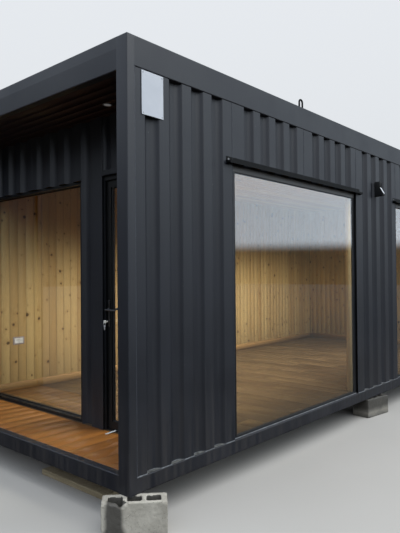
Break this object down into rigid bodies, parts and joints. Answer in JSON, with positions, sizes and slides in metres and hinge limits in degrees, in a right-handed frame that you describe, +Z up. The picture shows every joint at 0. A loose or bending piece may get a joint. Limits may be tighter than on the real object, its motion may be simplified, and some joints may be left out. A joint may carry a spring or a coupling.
{
  "type": "shipping container cabin",
  "caption": "Steel-framed container cabin on concrete blocks: recessed porch with a glazed hinged door, corrugated walls, floor-to-head side windows and a pine-lined room.",
  "frame": {"origin": "on the ground, at the centre of the cabin's plan", "axes": "+Z up; the porch and its door face -Y; the two side windows face +X"},
  "size_m": [3.4144, 7.5408, 3.0759],
  "materials": {
    "anthracite_steel": "satin anthracite paint on corrugated and rolled steel",
    "roof_steel": "satin anthracite paint, slightly dusty",
    "black_steel": "semi-gloss black paint",
    "window_aluminium": "powder-coated aluminium, anthracite",
    "black_aluminium": "powder-coated aluminium, near black",
    "clear_glass": "clear float glass",
    "pine_boards": "knotty pine tongue-and-groove boards, clear varnish",
    "skirting_wood": "varnished timber",
    "floor_laminate": "glossy brown laminate planks",
    "deck_hardwood": "glossy varnished hardwood boards",
    "soffit_hardwood": "dark varnished boards",
    "weathered_timber": "weathered sawn timber",
    "concrete": "rough pressed concrete",
    "satin_hardware": "satin steel",
    "lamp_body": "matt black paint",
    "lamp_lens": "frosted diffuser",
    "socket_plastic": "white moulded plastic"
  },
  "bodies": {
    "cabin": {"corner_posts": "anthracite_steel", "base_rails_end": "anthracite_steel", "base_rails_side": "anthracite_steel", "fascia_rails": "anthracite_steel", "top_rails_side": "anthracite_steel", "wall_left": "anthracite_steel", "wall_rear": "anthracite_steel", "wall_right_front": "anthracite_steel", "wall_right_middle": "anthracite_steel", "wall_right_rear": "anthracite_steel", "walls_over_windows": "anthracite_steel", "front_wall_head": "anthracite_steel", "front_wall_pier": "anthracite_steel", "porch_cheeks": "anthracite_steel", "roof_sheet": "roof_steel", "floor_joists": "black_steel", "lifting_eyes": "black_steel", "window_canopies": "black_steel", "door_hinge_knuckles": "black_steel", "window_frames": "window_aluminium", "door_frame": "window_aluminium", "door_stops": "window_aluminium", "glazing_frame": "black_aluminium", "window_glass": "clear_glass", "glazing_glass": "clear_glass", "lining_left": "pine_boards", "lining_rear": "pine_boards", "lining_right": "pine_boards", "lining_front": "pine_boards", "opening_reveals": "pine_boards", "cabin_ceiling": "pine_boards", "skirting": "skirting_wood", "cabin_floor": "floor_laminate", "porch_deck": "deck_hardwood", "porch_ceiling": "soffit_hardwood", "packing_plank": "weathered_timber", "foundation_blocks": "concrete", "wall_lamp": "lamp_body", "wall_lamp_lens": "lamp_lens", "porch_downlights": "lamp_lens", "wall_socket": "socket_plastic"},
    "door": {"door_leaf": "black_aluminium", "door_glass": "clear_glass", "door_handle": "satin_hardware", "door_hinge_leaves": "black_steel"}
  },
  "joints": [
    {"name": "door_hinge", "type": "hinge", "parent": "cabin", "child": "door", "pos_m": [1.3255, -2.967, 1.297], "axis": [0, 0, -1], "range_deg": [0, 90]}
  ]
}
